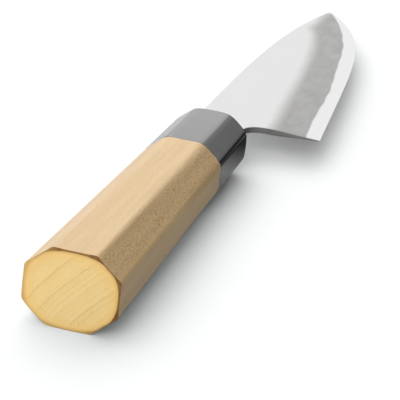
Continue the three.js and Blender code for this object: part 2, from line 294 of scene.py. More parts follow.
def at_place(x, loop):
    """Points of a flat loop of heights and thicknesses, set at the place or places x along the knife."""
    return np.stack([np.broadcast_to(x, loop.shape[:-1]), loop[..., 0], loop[..., 1]], axis=-1)


def grid_faces(rows, columns):
    """Quads of a grid numbered row by row, in which each row closes on itself."""
    near = np.arange(rows - 1)[:, None] * columns
    here = np.arange(columns)[None, :]
    following = (here + 1) % columns
    corners = [near + here, near + following, near + columns + following, near + columns + here]
    return np.stack(corners, axis=-1).reshape(-1, 4)


def signed_volume(points, quads):
    """Volume inside closed quads, negative where they point inwards: a sum of tetrahedra from the origin."""
    a, b, c, d = (points[quads[:, k]] for k in range(4))
    first = np.einsum("ij,ij->i", a, np.cross(b, c))
    second = np.einsum("ij,ij->i", a, np.cross(c, d))
    return (first.sum() + second.sum()) / 6.0


def welded(points, quads):
    """Points without doubles, the quads on them, and which of the points stay."""
    places = np.round(points / WELD_DISTANCE)
    _, kept, place = np.unique(places, axis=0, return_index=True, return_inverse=True)
    return points[kept], place.ravel()[quads], kept


def new_piece(name, grid, quads, materials, finish, node, slot, **values):
    """A smooth closed mesh that rides on the knife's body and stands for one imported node.

    The grid's points are in the knife's own frame. Each quad has the material that its finish numbers, and
    each point keeps its values as attributes.
    """
    points = on_table(grid.reshape(-1, 3), bpy.context.scene.knife_handle)
    if signed_volume(points, quads) < 0.0:
        quads = quads[:, ::-1]
    points, quads, kept = welded(points, quads)
    mesh = bpy.data.meshes.new(name)
    mesh.from_pydata(points.tolist(), [], [list(dict.fromkeys(quad)) for quad in quads.tolist()])
    for material in materials:
        mesh.materials.append(material)
    mesh.polygons.foreach_set("material_index", finish.astype(np.int32))
    mesh.polygons.foreach_set("use_smooth", np.ones(len(mesh.polygons), dtype=bool))
    mesh.set_sharp_from_angle(angle=SHARP_ANGLE)
    for each, value in values.items():
        layer = mesh.attributes.new(each, "FLOAT", "POINT")
        layer.data.foreach_set("value", value.ravel()[kept].astype(np.float32))
    piece = bpy.data.objects.new(name, mesh)
    bpy.context.scene.collection.objects.link(piece)
    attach(piece, BODY)
    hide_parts(node)


def octagon_loop(height, thickness, corner, slope, reach):
    """Octagon of facets joined by quadratic curves, which start and end at the reach from each corner."""
    top = height / 2.0
    side = thickness / 2.0
    top_flat = top - corner
    side_flat = side - corner * slope
    upper = [(top, -side_flat), (top, side_flat), (top_flat, side), (-top_flat, side)]
    lower = [(-top, side_flat), (-top, -side_flat), (-top_flat, -side), (top_flat, -side)]
    corners = np.array(upper + lower)
    start = corners + reach * unit(np.roll(corners, 1, axis=0) - corners)
    end = corners + reach * unit(np.roll(corners, -1, axis=0) - corners)
    step = np.linspace(0.0, 1.0, EDGE_POINTS)[None, :, None]
    curves = bend(step, start[:, None], corners[:, None], end[:, None])
    along = np.linspace(0.0, 1.0, FLAT_POINTS + 2)[None, 1:-1, None]
    flats = end[:, None] + along * (np.roll(start, -1, axis=0) - end)[:, None]
    return np.concatenate([curves, flats], axis=1).reshape(-1, 2)


def handle_loops(handle, butt_reach, front_reach):
    """The octagon's loops at the butt and at the front. Loops between them are a straight mix of the two."""
    slope = handle.corner_slope
    butt = octagon_loop(handle.butt_height, handle.butt_thickness, handle.butt_corner, slope, butt_reach)
    front = octagon_loop(handle.front_height, handle.front_thickness, handle.front_corner, slope, front_reach)
    return butt, front


def tapered(x, loops, length):
    """The octagon's points at the places x, one for each row and column."""
    butt, front = loops
    share = (x / length)[..., None]
    return butt * (1.0 - share) + front * share


def bar_radius(x, loops, length):
    """Distance of the octagon's points at the places x from the handle's middle line."""
    return np.linalg.norm(tapered(x, loops, length), axis=-1)


def full_radius(directions, half_height, half_thickness, fullness):
    """Radius of a superellipse along unit directions: the powers of both shares add up to one."""
    across = np.abs(directions[..., 0]) / half_height
    through = np.abs(directions[..., 1]) / half_thickness
    return (across**fullness + through**fullness) ** (-1.0 / fullness)


def meeting_spread(form_radius, form_place, loops, length, most):
    """Spread, from 0 to most, at which a spreading form meets the octagon, found by halving."""
    low = np.zeros(len(loops[0]))
    high = np.full_like(low, most)
    for _ in range(HALVINGS):
        middle = (low + high) / 2.0
        short = form_radius(middle) < bar_radius(form_place(middle), loops, length)
        low = np.where(short, middle, low)
        high = np.where(short, high, middle)
    return (low + high) / 2.0


def slot_loop(angles, height, width):
    """Slot with round ends: half circles about two centres, joined by straight sides."""
    straight = (height - width) / 2.0
    y = straight * np.sign(np.cos(angles)) + width / 2.0 * np.cos(angles)
    return np.stack([y, width / 2.0 * np.sin(angles)], axis=-1)


def rounded_box_loop(angles, middle, height, width, corner):
    """Rectangle with small quarter circles about four centres."""
    y = middle + (height / 2.0 - corner) * np.sign(np.cos(angles)) + corner * np.cos(angles)
    z = (width / 2.0 - corner) * np.sign(np.sin(angles)) + corner * np.sin(angles)
    return np.stack([y, z], axis=-1)


def butt_form(handle, loops, directions):
    """Depth and loop of the end grain's edge, and depth of the rim's outer edge.

    The end grain is a superellipse. Round it the rim spreads and sinks evenly until it meets the octagon, and
    it keeps its least width where the superellipse would come too near the facets.
    """
    half_height = handle.butt_height / 2.0 - handle.butt_rim
    half_thickness = handle.butt_thickness / 2.0 - handle.butt_rim

    def form_radius(spread):
        return full_radius(directions, half_height + spread, half_thickness + spread, handle.butt_fullness)

    def form_depth(spread):
        return handle.butt_dome + handle.rim_slope * spread

    spread = meeting_spread(form_radius, form_depth, loops, handle.length, handle.butt_corner)
    full = form_radius(0.0)
    outer = bar_radius(np.full(len(directions), handle.butt_dome), loops, handle.length)
    face_radius = np.minimum(full, outer - handle.least_rim)
    face_depth = handle.butt_dome * (face_radius / full) ** 2
    rim_depth = np.maximum(form_depth(spread), face_depth + handle.rim_slope * handle.least_rim)
    return face_depth, directions * face_radius[:, None], rim_depth


def grip_surface(handle, ferrule):
    """Closed skin of the grip as one stack of loops, from the mortise's floor to the middle of the butt.

    The loops run out along the mortise, over the tenon and its shoulder, down the octagon, over the rim and
    up the dome, whose depth grows with the square of the distance from its middle. Also gives the material of
    each row of faces, and how far out on the butt each point lies and how burnished it is.
    """
    loops = handle_loops(handle, handle.butt_ease, handle.front_ease)
    directions = unit(loops[0])
    angles = np.arctan2(directions[:, 1], directions[:, 0])
    face_depth, face_loop, rim_depth = butt_form(handle, loops, directions)
    joint = handle.length - ferrule.length - ferrule.glue_line
    tenon_end = handle.length - ferrule.floor
    mortise = slot_loop(angles, handle.mortise_height, handle.mortise_width)
    tenon = slot_loop(angles, handle.tenon_height, handle.tenon_width)
    inside = [
        at_place(handle.mortise_end, np.zeros_like(mortise)),
        at_place(handle.mortise_end, mortise),
        at_place(tenon_end, mortise),
        at_place(tenon_end, tenon),
        at_place(joint, tenon),
    ]
    share = ease_out(np.linspace(0.0, 1.0, GRIP_ROWS)[:, None])
    side_x = joint + (rim_depth - joint) * share
    sides = at_place(side_x, tapered(side_x, loops, handle.length))
    rim_edge = at_place(rim_depth, tapered(rim_depth, loops, handle.length))
    face_edge = at_place(face_depth, face_loop)
    outer_share = np.linspace(1.0, 0.0, RIM_ROWS)[1:, None, None]
    rim = face_edge + (rim_edge - face_edge) * outer_share
    radius = (1.0 - np.linspace(0.0, 1.0, DOME_ROWS)[1:] ** 2)[:, None]
    dome = at_place(face_depth * radius**2, face_loop * radius[..., None])
    points = np.concatenate([np.stack(inside), sides, rim, dome])

    wood_rows = len(inside) + GRIP_ROWS - 1
    zones = np.concatenate([np.zeros(wood_rows), np.ones(len(rim) + len(dome))])
    row_outwards = np.concatenate([np.zeros(wood_rows), np.ones(RIM_ROWS), radius[:, 0]])
    outwards = np.broadcast_to(row_outwards[:, None], points.shape[:2])
    towards = ease(*BURNISH_TURN, directions @ BURNISH_DIRECTION)
    burnish = ease(BURNISH_START, 1.0, outwards) * (BURNISH_LEAST + (1.0 - BURNISH_LEAST) * towards)
    return points, zones, outwards, burnish


def ferrule_surface(handle, ferrule, blade):
    """Closed skin of the ferrule as one ring of loops.

    They run from the joint along the octagon, round the nose, across the flat front, in along the neck's slot
    and back through the tenon's bore. The nose is a quarter ellipse carried round the front's outline, and
    the octagon cuts it.
    """
    loops = handle_loops(handle, ferrule.ease, ferrule.ease)
    directions = unit(loops[1])
    angles = np.arctan2(directions[:, 1], directions[:, 0])
    half_height = handle.front_height / 2.0 - ferrule.nose_rim
    half_thickness = handle.front_thickness / 2.0 - ferrule.nose_rim

    def form_radius(spread):
        return full_radius(directions, half_height + spread, half_thickness + spread, ferrule.nose_fullness)

    def form_place(spread):
        rest = np.sqrt(1.0 - (spread / ferrule.nose_spread) ** 2)
        return handle.length - ferrule.nose_depth * (1.0 - rest)

    joint = handle.length - ferrule.length
    spread = meeting_spread(form_radius, form_place, loops, handle.length, ferrule.nose_spread)
    share = np.linspace(0.0, 1.0, FERRULE_ROWS)[:, None]
    side_x = joint + (form_place(spread) - joint) * share
    sides = at_place(side_x, tapered(side_x, loops, handle.length))
    spreads = spread * (1.0 - np.linspace(0.0, 1.0, NOSE_ROWS)[1:, None])
    nose = at_place(form_place(spreads), directions * form_radius(spreads)[..., None])

    gaps = 2.0 * ferrule.glue_line
    spine = handle.front_height / 2.0 - blade.spine_inset
    neck = blade.neck_inset - handle.front_height / 2.0
    slot_height = spine - neck + gaps
    slot_width = blade.heel_thickness + gaps
    slot = rounded_box_loop(angles, (spine + neck) / 2.0, slot_height, slot_width, ferrule.slot_round)
    bore = slot_loop(angles, handle.tenon_height + gaps, handle.tenon_width + gaps)
    bore_end = handle.length - ferrule.floor + ferrule.glue_line
    inside = [
        at_place(handle.length, slot),
        at_place(bore_end, slot),
        at_place(bore_end, bore),
        at_place(joint, bore),
    ]
    return np.concatenate([sides, nose, np.stack(inside), sides[:1]])


def spine_line(x, handle, blade):
    """Height of the spine: straight out of the handle, then falling by a power of the distance."""
    reach = blade.neck_length + blade.length
    along = np.maximum(0.0, (x - handle.length) / reach)
    top = handle.front_height / 2.0 - blade.spine_inset
    return top - blade.tip_drop * along**blade.spine_power


def along_blade(x, handle, blade):
    """Share of the blade's length, 0 at the heel and behind it and 1 at the tip."""
    return np.maximum(0.0, (x - handle.length - blade.neck_length) / blade.length)


def edge_line(x, handle, blade):
    """Height of the edge: a straight rise and a belly that grows by a power of the distance."""
    heel = handle.front_height / 2.0 - blade.spine_inset - blade.heel_height
    straight = blade.edge_rise * (x - handle.length - blade.neck_length) / blade.length
    belly = blade.heel_height - blade.tip_drop - blade.tip_height - blade.edge_rise
    return heel + straight + belly * along_blade(x, handle, blade) ** blade.belly_power


def grind(x, handle, blade):
    """Height of the bevel, half thickness of the flat and slope of the bevel at the places x."""
    height = spine_line(x, handle, blade) - edge_line(x, handle, blade)
    rise = np.minimum(blade.grind_height, blade.tip_grind_share * height)
    along = along_blade(x, handle, blade)
    flat = (blade.heel_thickness * (1.0 - along) + blade.tip_thickness * along) / 2.0
    return rise, flat, (flat - blade.edge_thickness / 2.0) / rise


def weld_rise(x, handle, blade):
    """Height of the weld line above the edge: a tapering strip plus a slow sine wave and a quicker one.

    The quick wave is strongest where the slow one dips, and the strip is narrower where the bevel is lower.
    """
    along = along_blade(x, handle, blade)
    distance = along * blade.length - blade.wave_start
    slow = np.sin(2.0 * np.pi * distance / blade.wave_length)
    quick = np.sin(2.0 * np.pi * distance / blade.ripple_length)
    ripple = blade.weld_ripple * (RIPPLE_MEAN - RIPPLE_SWING * slow) * quick
    even = blade.heel_strip * (1.0 - along) + blade.tip_strip * along
    rise = grind(x, handle, blade)[0]
    return (even + blade.weld_wave * slow + ripple) * rise / blade.grind_height


def weld_line(x, handle, blade):
    """Height of the weld line."""
    return edge_line(x, handle, blade) + weld_rise(x, handle, blade)


def core_half(x, handle, blade):
    """Half thickness of the core above the weld line."""
    slope = grind(x, handle, blade)[2]
    foot = blade.edge_thickness / 2.0 + slope * weld_rise(x, handle, blade)
    return foot - blade.feather - blade.weld_gap


def face_half(x, y, handle, blade):
    """Half thickness of the whole blade: flat above the bevel, then a straight slope to the edge.

    A quadratic curve joins the flat and the slope over the grind's ease on both sides of the ridge.
    """
    rise, flat, slope = grind(x, handle, blade)
    ridge = edge_line(x, handle, blade) + rise
    reach = np.minimum(blade.grind_ease, rise / 2.0)
    below = ridge - y
    curve = slope * np.maximum(0.0, below + reach) ** 2 / (4.0 * reach)
    return flat - np.where(below > reach, slope * below, np.where(below > -reach, curve, 0.0))


def tang_outline(handle, blade):
    """Places along the tang and half its height there: a half circle, then a straight taper."""
    radius = blade.tang_end_height / 2.0
    length = handle.length - blade.neck_seat - blade.tang_end
    along = length * np.linspace(TANG_FIRST, 1.0, TANG_STATIONS) ** 2
    before_middle = radius - np.minimum(along, radius)
    rounded = np.sqrt(np.maximum(0.0, radius**2 - before_middle**2))
    taper = np.maximum(0.0, (along - radius) / (length - radius))
    return blade.tang_end + along, rounded + (blade.tang_height / 2.0 - radius) * taper


def choil_outline(handle, blade, lower_line):
    """Points from the neck's end to the lower line: a quadratic curve, then the heel's straight back."""
    heel = handle.length + blade.neck_length
    corner = np.array([heel + blade.choil_slant, blade.neck_inset - handle.front_height / 2.0])
    down = unit(np.array([heel, edge_line(heel, handle, blade)]) - corner)
    turn_start = corner - np.array([blade.choil_round, 0.0])
    turn_end = corner + down * blade.choil_round
    foot = corner + down * (lower_line(heel, handle, blade) - corner[1]) / down[1]
    step = np.linspace(0.0, 1.0, CHOIL_STATIONS // 2 + 1)[1:, None]
    turn = bend(step, turn_start, corner, turn_end)
    back = turn_end + (foot - turn_end) * step
    return np.concatenate([turn, back])


def blade_outlines(handle, blade, lower_line, end):
    """Points along the upper and the lower outline of one layer, from the tang's end to the layer's end.

    The tang and the straight neck come first. Then the choil turns down to the heel, with stations fanned out
    above it, and the rest follows the spine above and the given line below.
    """
    tang_x, tang_half = tang_outline(handle, blade)
    choil = choil_outline(handle, blade, lower_line)
    heel = handle.length + blade.neck_length
    neck_start = handle.length - blade.neck_seat + blade.wall_ease
    neck_end = heel + blade.choil_slant - blade.choil_round
    neck_x = np.linspace(neck_start, neck_end, NECK_STATIONS)
    neck_low = np.full(NECK_STATIONS, blade.neck_inset - handle.front_height / 2.0)
    fan_end = heel + blade.fan
    fan_x = np.linspace(neck_end, fan_end, CHOIL_STATIONS + 1)[1:]
    run = 1.0 - (1.0 - np.linspace(0.0, 1.0, EDGE_STATIONS + 1)[1:]) ** TIP_CROWDING
    foot_x = choil[-1, 0]
    run_low = foot_x + (end - foot_x) * run
    upper_x = np.concatenate([tang_x, neck_x, fan_x, fan_end + (end - fan_end) * run])
    spine = spine_line(upper_x, handle, blade)
    upper_y = np.concatenate([tang_half, spine[TANG_STATIONS:]])
    lower_x = np.concatenate([tang_x, neck_x, choil[:, 0], run_low])
    run_y = lower_line(run_low, handle, blade)
    lower_y = np.concatenate([-tang_half, neck_low, choil[:, 1], run_y])
    return np.stack([upper_x, upper_y], axis=-1), np.stack([lower_x, lower_y], axis=-1)


def across_shares():
    """Shares of the way across the blade, close together at both ends so that the walls can be rounded."""
    last = WALL_SHARES[-1]
    middle = np.linspace(last, 1.0 - last, ACROSS_ROWS - 2 * len(WALL_SHARES) + 2)[1:-1]
    return np.concatenate([WALL_SHARES, middle, 1.0 - WALL_SHARES[::-1]])


def layer_grid(handle, blade, lower_line, end):
    """Flat grid of one blade layer: straight rows between its outlines. Gives x, y and the rounding."""
    upper, lower = blade_outlines(handle, blade, lower_line, end)
    share = across_shares()
    flat = upper[:, None] + (lower - upper)[:, None] * share[None, :, None]
    width = np.linalg.norm(lower - upper, axis=-1)[:, None]
    from_top = np.maximum(0.0, 1.0 - width * share / blade.wall_ease)
    from_low = np.maximum(0.0, 1.0 - width * (1.0 - share) / blade.wall_ease)
    from_low[RUN_START:] = 0.0
    rounding = blade.wall_ease_depth * (from_top**2 + from_low**2)
    return flat[..., 0], flat[..., 1], rounding


def layer_points(x, y, outer, inner):
    """Points of a layer's loops: down its outer face and back up its inner face."""
    front = np.stack([x, y, outer], axis=-1)
    back = np.stack([x, y, inner], axis=-1)[:, ::-1]
    return np.concatenate([front, back], axis=1)


def layer_faces(stations):
    """Quads of a layer: closed loops along the blade, and strips that close both ends."""
    columns = 2 * ACROSS_ROWS
    sides = grid_faces(stations, columns)
    outer = np.arange(ACROSS_ROWS)
    inner = columns - 1 - outer
    start = np.stack([outer[1:], outer[:-1], inner[:-1], inner[1:]], axis=-1)
    last = (stations - 1) * columns
    finish = np.stack([outer[:-1], outer[1:], inner[1:], inner[:-1]], axis=-1) + last
    return np.concatenate([sides, start, finish])


def wall_faces(stations):
    """1 for the faces of the spine and of the neck and choil, which are cut steel, and 0 for the rest."""
    finish = np.zeros((stations - 1, 2 * ACROSS_ROWS))
    finish[:, -1] = 1.0
    finish[: RUN_START - 1, ACROSS_ROWS - 1] = 1.0
    ends = np.zeros(2 * (ACROSS_ROWS - 1))
    return np.concatenate([finish.ravel(), ends])


def tip_place(handle, blade):
    """Place of the tip along the knife."""
    return handle.length + blade.neck_length + blade.length


def core_surface(handle, blade):
    """Closed skin of the core: as thick as the whole blade up to the weld line, and even above it."""
    x, y, _ = layer_grid(handle, blade, edge_line, tip_place(handle, blade))
    half = np.minimum(face_half(x, y, handle, blade), core_half(x, handle, blade))
    return layer_points(x, y, half, -half)


def cladding_surface(handle, blade, side):
    """Closed skin of the cladding on the right, side 1, or on the left, side -1, and the haze at its points.

    It fills the room between the core and the blade's face, and thins out to a feather at the weld line and
    towards the tip. The haze covers the bevel and fades out by an S at the ridge and at the weld line.
    """
    end = tip_place(handle, blade) - blade.clad_setback
    x, y, rounding = layer_grid(handle, blade, weld_line, end)
    inner = core_half(x, handle, blade) + blade.weld_gap
    outer = face_half(x, y, handle, blade) - rounding
    thinning = ease(0.0, blade.clad_taper, end - x)
    outer = inner + np.maximum(blade.feather, (outer - inner) * thinning)
    edge = edge_line(x, handle, blade)
    height = spine_line(x, handle, blade) - edge
    ridge = edge + np.minimum(blade.grind_height, blade.tip_haze_share * height) + blade.haze_shift
    haze = ease(*HAZE_AT_RIDGE, (ridge - y) / blade.grind_ease)
    haze = haze * ease(*HAZE_AT_WELD, (y - weld_line(x, handle, blade)) / blade.weld_blur)
    both_faces = np.concatenate([haze, haze[:, ::-1]], axis=1)
    return layer_points(x, y, side * outer, side * inner), both_faces


def feed(tree, socket, value):
    """Link a socket to another node's output, or set it to a plain value. A plain colour gets its alpha."""
    if isinstance(value, bpy.types.NodeSocket):
        tree.links.new(value, socket)
    elif socket.type == "RGBA":
        socket.default_value = (*value, 1.0)
    else:
        socket.default_value = value


def add_node(tree, kind, inputs=None, **settings):
    """A shader node with its settings, and with values or links on its inputs."""
    node = tree.nodes.new(kind)
    for name, value in settings.items():
        setattr(node, name, value)
    for name, value in (inputs or {}).items():
        feed(tree, node.inputs[name], value)
    return node


def new_material(name):
    """A material and its nodes, of which there are none yet."""
    material = bpy.data.materials.new(name)
    material.use_nodes = True
    material.node_tree.nodes.clear()
    return material, material.node_tree


def add_surface(tree, inputs):
    """A material's surface shader, with values or links on its inputs, and the material's output."""
    surface = add_node(tree, "ShaderNodeBsdfPrincipled", inputs)
    add_node(tree, "ShaderNodeOutputMaterial", {"Surface": surface.outputs["BSDF"]})


def object_points(tree, scale=(1.0, 1.0, 1.0)):
    """Object coordinates, scaled along each axis."""
    place = add_node(tree, "ShaderNodeTexCoord")
    mapping = add_node(tree, "ShaderNodeMapping", {"Vector": place.outputs["Object"], "Scale": scale})
    return mapping.outputs["Vector"]


def object_axes(tree):
    """Object coordinates X, Y and Z, each on its own."""
    return add_node(tree, "ShaderNodeSeparateXYZ", {"Vector": object_points(tree)}).outputs


def noise(tree, scale, detail=2.0, roughness=0.5):
    """Noise over the object, with as many features in a metre along each axis as the scale says."""
    points = object_points(tree, scale)
    inputs = {"Vector": points, "Scale": 1.0, "Detail": detail, "Roughness": roughness}
    return add_node(tree, "ShaderNodeTexNoise", inputs).outputs["Fac"]


def map_range(tree, value, low, high, to_low=0.0, to_high=1.0):
    """A value moved from one range to another and kept inside it."""
    inputs = {"Value": value, "From Min": low, "From Max": high, "To Min": to_low, "To Max": to_high}
    return add_node(tree, "ShaderNodeMapRange", inputs).outputs["Result"]


def calculate(tree, operation, *values):
    """One step of arithmetic."""
    return add_node(tree, "ShaderNodeMath", dict(enumerate(values)), operation=operation).outputs["Value"]


def product(tree, first, second):
    """Two values multiplied."""
    return calculate(tree, "MULTIPLY", first, second)


def total(tree, first, *others):
    """Two or more values added up."""
    for value in others:
        first = calculate(tree, "ADD", first, value)
    return first


def mix_colour(tree, share, first, second, blend="MIX"):
    """Two colours mixed by a share."""
    node = add_node(tree, "ShaderNodeMix", data_type="RGBA", blend_type=blend)
    colours = [socket for socket in node.inputs if socket.type == "RGBA"]
    for socket, value in zip([node.inputs[0], *colours], (share, first, second)):
        feed(tree, socket, value)
    return next(socket for socket in node.outputs if socket.type == "RGBA")


def scaled(colour, share):
    """A plain colour, made brighter or darker."""
    return tuple(share * part for part in colour)


def shaded(tree, colour, share):
    """A colour, made brighter or darker by a share that changes from place to place."""
    node = add_node(tree, "ShaderNodeVectorMath", {0: colour, 1: share}, operation="MULTIPLY")
    return node.outputs[0]


def attribute(tree, name):
    """A number that the piece keeps at its vertices."""
    return add_node(tree, "ShaderNodeAttribute", attribute_name=name).outputs["Fac"]


def ray(tree, kind):
    """1 where the ray that meets the surface is of this kind, and 0 elsewhere."""
    return add_node(tree, "ShaderNodeLightPath").outputs["Is " + kind + " Ray"]


def bump(tree, height, distance, strength):
    """Small relief from a height."""
    node = add_node(tree, "ShaderNodeBump", {"Height": height, "Distance": distance, "Strength": strength})
    return node.outputs["Normal"]


# Growth rings: circles round the tree's pith, which lies outside the handle, in the row frame
PITH = (0.0, -42.0 * MM, -27.65 * MM)
RING_SPACING = 3.55 * MM
RING_START = 0.75
RING_WANDER = 0.08
WEAK_RING = 0.25
BANDS_IN_A_RING = 5.5

# Wood: features in a metre along the knife, up its height and through its thickness
WANDER_SCALE = (12.0, 170.0, 170.0)
STREAK_SCALE = (28.0, 620.0, 620.0)
FIBRE_SCALE = (240.0, 2600.0, 2600.0)
PORE_SCALE = (900.0, 3300.0, 3300.0)
FLECK_SCALE = (1500.0, 2800.0, 2800.0)
END_SPECKLE_SCALE = (2600.0, 2600.0, 2600.0)
END_CLOUD_SCALE = (330.0, 330.0, 330.0)
END_PORE_SCALE = (3400.0, 3400.0, 3400.0)
RIM_PATCH_SCALE = (520.0, 520.0, 520.0)

# Heights on the handle between which pores come in, and between which they are gone again
PORES_COME = (-4.2 * MM, -6.5 * MM)
PORES_GO = (-9.2 * MM, -10.2 * MM)
PORES_ELSEWHERE = 0.25
# Places along the handle, and how strong the pores are there
PORES_ALONG = (-50.0 * MM, 25.0 * MM, 0.9, 1.05)

# Tints of the dark and of the pale streaks, and the painted shade that makes the spine-side facets darker and
# greyer, which starts between two heights
DARK_STREAK = (0.93, 0.91, 0.87)
PALE_STREAK = (1.05, 1.06, 1.08)
SPINE_SIDE_PAINTED_SHADE = (0.87, 0.88, 0.98)
SPINE_SIDE = (4.2 * MM, 5.6 * MM)

# Greys that both kinds of wood have in the light that they throw on the floor
SIDE_BOUNCE = (0.43, 0.45, 0.45)
END_BOUNCE = (0.52, 0.54, 0.55)


def ring_count(tree):
    """Number of rings from the pith to a point, which wanders a little from place to place."""
    place = add_node(tree, "ShaderNodeTexCoord").outputs["Object"]
    section = add_node(tree, "ShaderNodeVectorMath", {0: place, 1: (0.0, 1.0, 1.0)}, operation="MULTIPLY")
    away = add_node(tree, "ShaderNodeVectorMath", {0: section.outputs[0], 1: PITH}, operation="DISTANCE")
    wander = map_range(tree, noise(tree, WANDER_SCALE), 0.0, 1.0, -RING_WANDER, RING_WANDER)
    return total(tree, calculate(tree, "DIVIDE", away.outputs["Value"], RING_SPACING), wander, RING_START)


def ring_share(tree, count):
    """Share of the way through a ring, and the ring's strength. Every second ring is weak."""
    second = calculate(tree, "MODULO", calculate(tree, "FLOOR", count), 2.0)
    return calculate(tree, "FRACT", count), map_range(tree, second, 0.0, 1.0, 1.0, WEAK_RING)


def ring_bands(tree, count):
    """Fine bands inside the rings."""
    inputs = {"W": product(tree, count, BANDS_IN_A_RING), "Scale": 1.0, "Detail": 2.0}
    return add_node(tree, "ShaderNodeTexNoise", inputs, noise_dimensions="1D").outputs["Fac"]


def open_grain(tree, place):
    """Strength of the pores: strongest on the facet beside the top on the edge side, weaker on the other
    facets and towards the butt.
    """
    come = map_range(tree, place["Y"], *PORES_COME)
    stay = map_range(tree, place["Y"], *reversed(PORES_GO))
    facet = map_range(tree, product(tree, come, stay), 0.0, 1.0, PORES_ELSEWHERE, 1.0)
    return product(tree, facet, map_range(tree, place["X"], *PORES_ALONG))


def even_bounce(tree, colour, grey):
    """The colour as it is seen, but an even grey in the soft light that it throws on what is near."""
    return mix_colour(tree, ray(tree, "Diffuse"), colour, grey)


def side_grain(handle):
    """Pale fine-pored wood: long faint streaks, short dark pores along the grain, a satin sheen, and painted
    shade on the spine-side facets.
    """
    material, tree = new_material("side_grain")
    place = object_axes(tree)
    streaks = noise(tree, STREAK_SCALE, 3.0)
    fibres = noise(tree, FIBRE_SCALE)
    pores = noise(tree, PORE_SCALE, 1.0)
    flecks = noise(tree, FLECK_SCALE, 2.0, 0.6)
    opened = open_grain(tree, place)
    streak_tint = mix_colour(tree, map_range(tree, streaks, 0.3, 0.7), DARK_STREAK, PALE_STREAK)
    base = mix_colour(tree, 1.0, handle.side_colour, streak_tint, "MULTIPLY")
    share, strength = ring_share(tree, ring_count(tree))
    late = product(tree, map_range(tree, share, 0.55, 1.0), strength)
    fleck_dots = map_range(tree, flecks, 0.44, 0.64, 0.0, 0.5)
    pore_dots = map_range(tree, pores, 0.58, 0.68, 0.0, 0.4)
    dots = product(tree, total(tree, fleck_dots, pore_dots), opened)
    dark = total(tree, dots, product(tree, late, 0.12))
    base = mix_colour(tree, dark, base, handle.pore_colour)
    # Painted shade: the spine-side facets are made darker and greyer
    spine_shade_share = map_range(tree, place["Y"], *SPINE_SIDE)
    base = mix_colour(tree, spine_shade_share, base, SPINE_SIDE_PAINTED_SHADE, "MULTIPLY")
    pits = total(tree, map_range(tree, pores, 0.58, 0.7), map_range(tree, flecks, 0.4, 0.66, 0.0, 1.5))
    relief = calculate(tree, "SUBTRACT", fibres, product(tree, pits, opened))
    looks = {
        "Base Color": even_bounce(tree, base, SIDE_BOUNCE),
        "Roughness": map_range(tree, fibres, 0.2, 0.8, 0.4, 0.5),
        "Specular IOR Level": 0.35,
        "Normal": bump(tree, relief, 0.1 * MM, 0.35),
    }
    add_surface(tree, looks)
    return material


def end_grain(handle):
    """Yellow end grain: growth rings that end in thin dark lines, tiny pores and a burnished rim."""
    material, tree = new_material("end_grain")
    count = ring_count(tree)
    share, strength = ring_share(tree, count)
    late = map_range(tree, share, 0.3, 1.0, 0.0, 0.1)
    line = product(tree, map_range(tree, share, 0.93, 0.98, 0.0, 0.4), strength)
    bands = map_range(tree, ring_bands(tree, count), 0.5, 0.75, 0.0, 0.16)
    speckle = map_range(tree, noise(tree, END_SPECKLE_SCALE, 2.0, 0.6), 0.48, 0.7, 0.0, 0.2)
    dark = total(tree, late, line, bands, speckle)
    base = mix_colour(tree, dark, handle.end_colour, handle.ring_colour)
    cloud = map_range(tree, noise(tree, END_CLOUD_SCALE), 0.3, 0.75, 0.0, 0.3)
    base = mix_colour(tree, cloud, base, handle.pale_colour)
    outwards = attribute(tree, "outwards")
    base = mix_colour(tree, map_range(tree, outwards, 0.72, 1.0, 0.0, 0.75), base, handle.glow_colour)
    base = mix_colour(tree, map_range(tree, outwards, 0.92, 1.0, 0.0, 0.45), base, handle.ring_colour)
    patches = map_range(tree, noise(tree, RIM_PATCH_SCALE), 0.35, 0.65, 0.75, 1.0)
    rim = product(tree, attribute(tree, "burnish"), patches)
    base = mix_colour(tree, rim, base, handle.rim_colour)
    looks = {
        "Base Color": even_bounce(tree, base, END_BOUNCE),
        "Roughness": map_range(tree, rim, 0.0, 1.0, 0.6, 0.38),
        "Specular IOR Level": 0.15,
        "Normal": bump(tree, noise(tree, END_PORE_SCALE, 1.0), 0.02 * MM, 0.5),
    }
    add_surface(tree, looks)
    return material


# Lacquer and resin: features in a metre, and how bright their clouds are beside the plain colour
RUBBING_SCALE = (120.0, 2600.0, 2600.0)
LACQUER_CLOUD_SCALE = (300.0, 300.0, 300.0)
LACQUER_CLOUD = 1.7
RESIN_CLOUD_SCALE = (260.0, 260.0, 260.0)
RESIN_CLOUD = 0.6
BUBBLE_SCALE = (1500.0, 1500.0, 1500.0)


def black_lacquer(ferrule):
    """Semi-gloss black with fine rubbing marks along the handle."""
    material, tree = new_material("black_lacquer")
    rubbing = noise(tree, RUBBING_SCALE, 3.0)
    cloud = noise(tree, LACQUER_CLOUD_SCALE)
    looks = {
        "Base Color": mix_colour(tree, cloud, ferrule.colour, scaled(ferrule.colour, LACQUER_CLOUD)),
        "Roughness": map_range(tree, rubbing, 0.25, 0.75, 0.17, 0.23),
        "Specular IOR Level": 0.46,
        "Normal": bump(tree, rubbing, 0.006 * MM, 0.4),
    }
    add_surface(tree, looks)
    return material


def bedding_resin(ferrule):
    """Cloudy resin with trapped bubbles."""
    material, tree = new_material("bedding_resin")
    cloud = noise(tree, RESIN_CLOUD_SCALE, 3.0)
    bubbles = map_range(tree, noise(tree, BUBBLE_SCALE, 1.0), 0.62, 0.7)
    dark = scaled(ferrule.resin_colour, RESIN_CLOUD)
    looks = {
        "Base Color": mix_colour(tree, cloud, ferrule.resin_colour, dark),
        "Roughness": map_range(tree, cloud, 0.2, 0.8, 0.4, 0.6),
        "Normal": bump(tree, bubbles, 0.05 * MM, 0.5),
    }
    add_surface(tree, looks)
    return material


